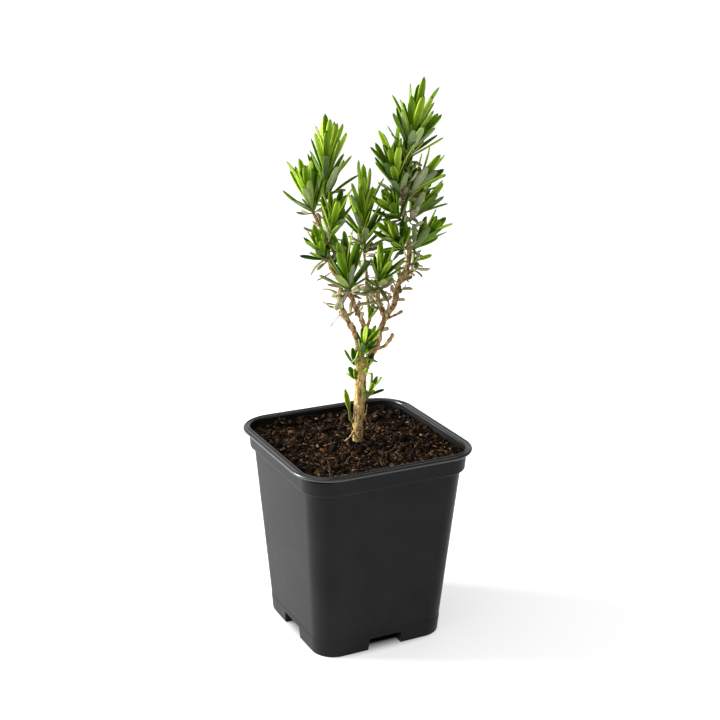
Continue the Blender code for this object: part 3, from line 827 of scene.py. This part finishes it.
def buildStem(shape):
    bm = bmesh.new()
    for name, branch in branches.items():
        addTube(bm, branchTube(name, branch["points"], branch["radii"]))
    for radii, points in deadTwigs:
        addTube(bm, branchTube("deadTwig", points, radii, 2))
    bmesh.ops.remove_doubles(bm, verts=bm.verts, dist=0.00001)
    addScars(bm, shape)
    bmesh.ops.recalc_face_normals(bm, faces=bm.faces)
    core = finishMesh("stemCore", bm)
    remesh = core.modifiers.new("skin", "REMESH")
    remesh.mode = "VOXEL"
    remesh.voxel_size = shape["voxel"] * mm
    applyAll(core)
    bm = bmesh.new()
    bm.from_mesh(core.data)
    bpy.data.objects.remove(core, do_unlink=True)
    bmesh.ops.smooth_vert(bm, verts=bm.verts, factor=0.5, use_axis_x=True, use_axis_y=True, use_axis_z=True)
    bm.normal_update()
    tone = bm.verts.layers.float_color.new("barkToneAndShade")
    moves = []
    for vert in bm.verts:
        spot = vert.co * 1000
        upper = smoothStep((spot.z - shape["forkHeight"]) / shape["forkBlend"])
        wander = noise.noise(Vector((0, 3, spot.z * 0.12))) * 1.6
        long = Vector((spot.x + wander, spot.y, spot.z * 0.13))
        ridges = noise.noise(long) + 0.55 * noise.noise(long * 2.3 + Vector((5, 1, 9)))
        scars = noise.noise(Vector((spot.x * 0.45, spot.y * 0.45, spot.z * 0.55)) + Vector((3, 8, 2)))
        cracks = abs(noise.noise(Vector((spot.x * 0.7, spot.y * 0.7, spot.z * 0.9))))
        fine = noise.noise(spot * 2.4)
        lift = shape["ridge"] * ridges * blendValue(1.0, 0.55, upper)
        lift += shape["knot"] * scars * blendValue(0.7, 1.0, upper) + 0.08 * fine
        lift -= 0.25 * max(0.0, 0.12 - cracks) / 0.12
        moves.append((vert, vert.normal * lift * mm))
        # the tone follows the displaced ridges and cracks: raised ridges are painted paler as highlight and
        # cracks darker as shade, mixed with fine random tone
        value = 0.52 + 0.36 * ridges + 0.22 * scars + 0.14 * fine - 0.5 * max(0.0, 0.1 - cracks) / 0.1
        fresh = 0.45 * max(0.0, 1 - abs(spot.z - 132) / 7)
        fresh += 0.5 * max(0.0, noise.noise(spot * 0.22)) * (1 - upper)
        vert[tone] = (upper, min(max(value, 0), 1), min(fresh, 1), 1)
    for vert, move in moves:
        vert.co += move
    greenStem(bm, tone, shape)
    finishPiece("woodyStem", bm, barkFinish, "bark", "woody_stem")
    addFlakes(shape)


def greenStem(bm, tone, shape):
    # the youngest middle stem is still green
    line = [plantPoint(*point) for point in branches["middle"]["points"]]
    for vert in bm.verts:
        for start, end in zip(line, line[1:]):
            span = end - start
            part = min(max((vert.co - start).dot(span) / span.length_squared, 0), 1)
            if (vert.co - start - span * part).length < shape["greenReach"] * mm:
                old = vert[tone]
                vert[tone] = (old[0], old[1], 0.55 if vert.co.z < shape["greenTop"] * mm else 0.15, 1)


# leafy shoots
shootKeys = ("root", "top", "pairs", "length", "splay", "turn", "seed", "old")
shoots = {
    "shoot_left_top": ((-15, -1.6, 207), (-13.8, 1, 227), 9, (18, 22), (58, 7), 20, 3, 5),
    "shoot_left_outer": ((-19.5, -11.1, 204.5), (-21.6, -12.2, 212), 6, (16, 20), (52, 8), 0, 5, 5),
    "shoot_left_inner": ((-12.2, -11.8, 192), (-11.2, -14, 201), 5, (15, 19), (50, 12), 60, 7, 6),
    "shoot_left_low": ((-13.8, -11.2, 183), (-16, -13.6, 188), 4, (12, 14), (60, 14), 15, 11, 4),
    "shoot_centre_left": ((-3.2, -9.7, 168.5), (-4.8, -12, 179.5), 7, (18, 23), (56, 8), 35, 13, 8),
    "shoot_centre": ((3, 4, 183.7), (2.6, 4.8, 205.5), 10, (15, 21), (76, 8), 10, 17, 13),
    "shoot_centre_right": ((9, -5.4, 169), (10.6, -7.4, 176), 5, (14, 18), (66, 10), 50, 19, 9),
    "shoot_right_low_inner": ((20.8, 6, 184.5), (16.5, -1, 191.5), 5, (15, 18), (50, 8), 5, 23, 4),
    "shoot_right_low_outer": ((25.2, 8.6, 184), (29.4, 8.2, 189.5), 5, (14, 18), (52, 10), 40, 61, 5),
    "shoot_right_mid_inner": ((19.2, 6.2, 198.5), (16, 2.2, 203.5), 4, (13, 16), (50, 12), 0, 67, 4),
    "shoot_right_mid_outer": ((23.4, 9.4, 197), (27.2, 11.8, 202.5), 5, (15, 19), (50, 10), 70, 29, 5),
    "shoot_right_upper": ((22.2, 8.4, 208), (27.2, 11, 214.5), 5, (16, 20), (50, 10), 25, 31, 5),
    "shoot_right_inner": ((18.6, 6.8, 208), (16.4, 2, 223.5), 8, (17, 22), (56, 8), 40, 37, 7),
    "shoot_right_top": ((22.1, 6.9, 225.7), (24.4, 6.1, 239.5), 9, (19, 23.5), (62, 7), 0, 41, 6),
    "shoot_right_lowest": ((24.6, 8.8, 176.5), (28, 11, 179), 2, (8, 8), (70, 30), 30, 43, 5),
    "sprout_fork": ((2.6, -3.1, 136), (4, -5, 142), 4, (9, 13), (40, 14), 0, 47, 2),
    "sprout_trunk_right": ((4.9, -0.4, 114.5), (7.2, -2, 120.5), 3, (8, 10), (44, 14), 10, 53, 0),
    "sprout_trunk_low": ((-2.5, 0.2, 103.5), (-3.6, -0.4, 111.5), 1, (12, 12), (18, 18), 95, 59, 0),
}
stragglers = {  # old leaves left along the branches: branch, part of its length, how many, seed
    "leftLow": ("left", (0.48, 0.72), 12, 101), "leftHigh": ("left", (0.72, 0.98), 12, 103),
    "leftUp": ("leftUp", (0.1, 1.0), 8, 107), "middleLeft": ("middleLeft", (0.62, 1.0), 9, 109),
    "middle": ("middle", (0.55, 1.0), 10, 113), "rightInner": ("rightInner", (0.2, 1.0), 8, 127),
    "rightLow": ("rightOuter", (0.16, 0.42), 13, 131), "rightMiddle": ("rightOuter", (0.42, 0.7), 14, 137),
    "rightHigh": ("rightOuter", (0.7, 1.0), 16, 139), "fork": ("left", (0.1, 0.35), 2, 149)}
youngTufts = {  # small green leaves on the old wood: root, towards, how many, length, seed
    "forkLeft": ((-0.6, -2.0, 131), (-2.2, -3.5, 143), 3, (8, 10), 151),
    "trunkLeft": ((-0.6, -0.4, 124), (-4.0, -1.5, 131), 3, (5, 7), 157),
    "forkRight": ((5.6, -1.2, 131), (8.5, -3.0, 139), 3, (5, 8), 163),
    "trunkTop": ((3.8, -2.2, 128), (6.5, -6.0, 131), 2, (5, 7), 167),
    "middleStem": ((5.6, 0.2, 153), (8.5, -2.0, 161), 3, (7, 9), 173)}
leafShape = dict(thick=1.0, sides=8, rings=8, pairTurn=78, scrapWidth=(1.9, 2.9), stemRadii=(0.85, 0.6))


def leafWidth(part):
    body = blendValue(0.38, 1.0, smoothStep(part / 0.55))
    tip = math.sqrt(max(0.0, 1 - max(0.0, (part - 0.58) / 0.42) ** 2.3))
    return body * tip * smoothStep(part / 0.03)


def leafSection(angle):
    # height of the section: two crests, a groove between them, margins rolled under and a rib below
    up, middle = math.sin(angle), abs(math.cos(angle))
    if up > 0.1:
        return 0.50 if middle > 0.3 else 0.12
    if up < -0.1:
        return -0.42 if middle > 0.3 else -0.34
    return 0.0


def leafLayers(bm):
    return [bm.verts.layers.float_color.new(name) for name in ("leafTone", "leafMap")]


def growLeaf(bm, layers, leaf):
    side = leaf["out"].cross(leaf["up"]).normalized()
    made = bmesh.ops.create_uvsphere(bm, u_segments=leafShape["sides"], v_segments=leafShape["rings"],
                                     radius=1)["verts"]
    curve = leaf["bend"] + leaf["hook"]
    curve = curve if abs(curve) > 0.02 else 0.02
    for vert in made:
        height = max(-1, min(1, vert.co.z))
        part = (math.acos(-height) / math.pi + (height + 1) / 2) / 2
        angle = math.atan2(vert.co.y, vert.co.x)
        pole = abs(height) > 0.999
        across = 0 if pole else math.cos(angle)
        deep = 0 if pole else leafSection(angle)
        wide = leafWidth(part) * leaf["width"] / 2
        thick = leaf["thick"] * (0.35 + 0.65 * leafWidth(part)) * min(1, part / 0.05 + 0.3)
        turn = curve * part
        reach = leaf["out"] * math.sin(turn) / curve + leaf["up"] * (1 - math.cos(turn)) / curve
        face = leaf["up"] * math.cos(turn) - leaf["out"] * math.sin(turn)
        roll = leaf["twist"] * part
        across3 = side * math.cos(roll) + face * math.sin(roll)
        face3 = face * math.cos(roll) - side * math.sin(roll)
        sag = leaf["cup"] * across * across * wide
        rise = face3 * (deep * thick - sag)
        vert.co = leaf["root"] + reach * leaf["length"] + across3 * across * wide + rise
        top = 1.0 if math.sin(angle) > -0.1 or pole else 0.0
        vert[layers[0]] = (leaf["age"], leaf["luck"], top, 1)
        vert[layers[1]] = (abs(across), part, leaf["dry"], 1)
    return made


def leafPlan(plan):
    # crossed pairs first, then a sparser rank between them
    dice = random.Random(plan["seed"])
    root, top = plantPoint(*plan["root"]), plantPoint(*plan["top"])
    axis = (top - root).normalized()
    pairs = plan["pairs"]
    ranks = [((pair + 0.6) / pairs, pair, (0, 180)) for pair in range(pairs)]
    for pair in range(pairs):
        part = min((pair + 1.1) / pairs, 1)
        halves = (39, 219) if part < 0.4 else (39,)
        if pairs > 3 and part < 0.8:
            ranks.append((part, pair, halves))
    for part, pair, halves in ranks:
        for half in halves:
            turn = plan["turn"] + pair * leafShape["pairTurn"] + half + dice.uniform(-14, 14)
            lean = blendValue(*plan["splay"], math.sqrt(part)) + dice.uniform(-6, 6)
            length = blendValue(*plan["length"], part) * dice.uniform(0.86, 1.08)
            leaf = aimedLeaf(root + (top - root) * part, axis, turn, lean, length, part)
            leaf["width"] = dice.uniform(2.9, 3.6) * mm * min(1.0, max(0.62, leaf["length"] / (15 * mm)))
            leaf["bend"] = math.radians(dice.uniform(-10, 12))
            yield leaf


def dressLeaf(leaf, dice):
    age = min(max(0.80 - leaf["part"] * 0.95 + dice.uniform(-0.16, 0.16), 0), 1)
    leaf.update(age=age, luck=dice.random(), dry=0.0, width=leaf["width"] * 1.06,
                thick=leafShape["thick"] * mm * dice.uniform(0.75, 1.0), hook=dice.uniform(-0.30, 0.10),
                twist=dice.uniform(-0.5, 0.5), cup=dice.uniform(0.0, 0.30))
    return leaf


def aimedLeaf(root, axis, turn, lean, length, part):
    sideways = sidewaysFrom(axis, math.radians(turn))
    lean = math.radians(lean)
    out = axis * math.cos(lean) + sideways * math.sin(lean)
    facing = axis * math.sin(lean) - sideways * math.cos(lean)
    return dict(root=root + sideways * 0.25 * mm, out=out, up=facing, part=part,
                length=length * mm, width=3 * mm, bend=0.0)


def fillLeaves(plan, dice):
    # small leaves in the axils, the bud at the tip and old leaves below
    root, top = plantPoint(*plan["root"]), plantPoint(*plan["top"])
    axis = (top - root).normalized()
    pairs = plan["pairs"]
    for pair in range(pairs):
        part = (pair + 0.6) / pairs
        if part < 0.6:
            splay = blendValue(*plan["splay"], math.sqrt(part)) * 0.5
            length = blendValue(*plan["length"], part)
            for half in (0, 180):
                turn = plan["turn"] + pair * leafShape["pairTurn"] + half
                size = length * dice.uniform(0.35, 0.6)
                leaf = dressLeaf(aimedLeaf(root.lerp(top, part), axis, turn, splay, size, part), dice)
                leaf.update(age=dice.uniform(0.05, 0.5), width=dice.uniform(1.8, 2.5) * mm)
                yield leaf
    if pairs > 3:
        for index in range(3):
            leaf = aimedLeaf(top, axis, index * goldenTurn, dice.uniform(2, 6), dice.uniform(9, 13), 1.0)
            leaf = dressLeaf(leaf, dice)
            leaf.update(width=dice.uniform(2.0, 2.8) * mm)
            yield leaf
    for index in range(plan["old"]):
        place = root.lerp(top, dice.uniform(-0.12, 0.22))
        leaf = aimedLeaf(place, axis, index * goldenTurn + plan["seed"], dice.uniform(50, 92),
                         dice.uniform(7, 11), 0)
        yield dressOld(leaf, dice)


def dressOld(leaf, dice):
    leaf = dressLeaf(leaf, dice)
    leaf.update(age=dice.uniform(0.85, 1.0), dry=max(0.0, dice.uniform(-0.5, 0.8)),
                hook=dice.uniform(-1.5, 0.9), twist=dice.uniform(-1.2, 1.2), cup=dice.uniform(0.2, 0.8),
                width=dice.uniform(*leafShape["scrapWidth"]) * mm, thick=leaf["thick"] * 0.8)
    return leaf


def growStragglers(name, branchName, span, count, seed):
    dice = random.Random(seed)
    bm = bmesh.new()
    layers = leafLayers(bm)
    branch = branches[branchName]
    for index in range(count):
        along = blendValue(span[0], span[1], (index + dice.random()) / count)
        root, axis = pointAlong(branch["points"], along)
        leaf = aimedLeaf(root, axis, index * goldenTurn + seed, dice.uniform(25, 95),
                         dice.uniform(5, 10), 0)
        leaf["root"] += (leaf["root"] - root).normalized() * radiusAt(branch["radii"], along) * 0.6 * mm
        growLeaf(bm, layers, dressOld(leaf, dice))
    finishPiece("oldLeaves" + name, bm, leafFinish, "leaf")


def growTuft(name, root, towards, count, lengths, seed):
    dice = random.Random(seed)
    bm = bmesh.new()
    layers = leafLayers(bm)
    foot = plantPoint(*root)
    axis = (plantPoint(*towards) - foot).normalized()
    for index in range(count):
        leaf = aimedLeaf(foot, axis, index * goldenTurn, dice.uniform(8, 32), dice.uniform(*lengths), 0.6)
        leaf = dressLeaf(leaf, dice)
        leaf.update(age=dice.uniform(0.05, 0.55), width=dice.uniform(2.0, 2.8) * mm)
        growLeaf(bm, layers, leaf)
    finishPiece("youngTuft" + name, bm, leafFinish, "leaf")


def growShoot(name, plan):
    bm = bmesh.new()
    addTube(bm, branchTube(name + "Stem", (plan["root"], plan["top"]), leafShape["stemRadii"], 2))
    layers = leafLayers(bm)
    for vert in bm.verts:
        vert[layers[0]] = (0.5, 0.4, 1, 1)
        vert[layers[1]] = (0.5, 0.12, 0.25, 1)
    looks = random.Random(plan["seed"] + 1000)
    for leaf in leafPlan(plan):
        growLeaf(bm, layers, dressLeaf(leaf, looks))
    for leaf in fillLeaves(plan, looks):
        growLeaf(bm, layers, leaf)
    finishPiece(name.replace("_", "") + "Leaves", bm, leafFinish, "leaf", name)


addCamera(cameraView)
addStudio(studio)
print("camera and studio ready")
buildPot(potShape)
buildSoil(soilShape)
barkFinish = barkSkin()
buildStem(barkShape)
leafFinish = leafSkin()
for shootName, shootRow in shoots.items():
    growShoot(shootName, dict(zip(shootKeys, shootRow)))
print("shoots done:", len(shoots))
for pileName, (branchName, span, count, seed) in stragglers.items():
    growStragglers(pileName, branchName, span, count, seed)
for tuftName, (root, towards, count, lengths, seed) in youngTufts.items():
    growTuft(tuftName, root, towards, count, lengths, seed)
print("loose leaves done:", len(stragglers) + len(youngTufts))
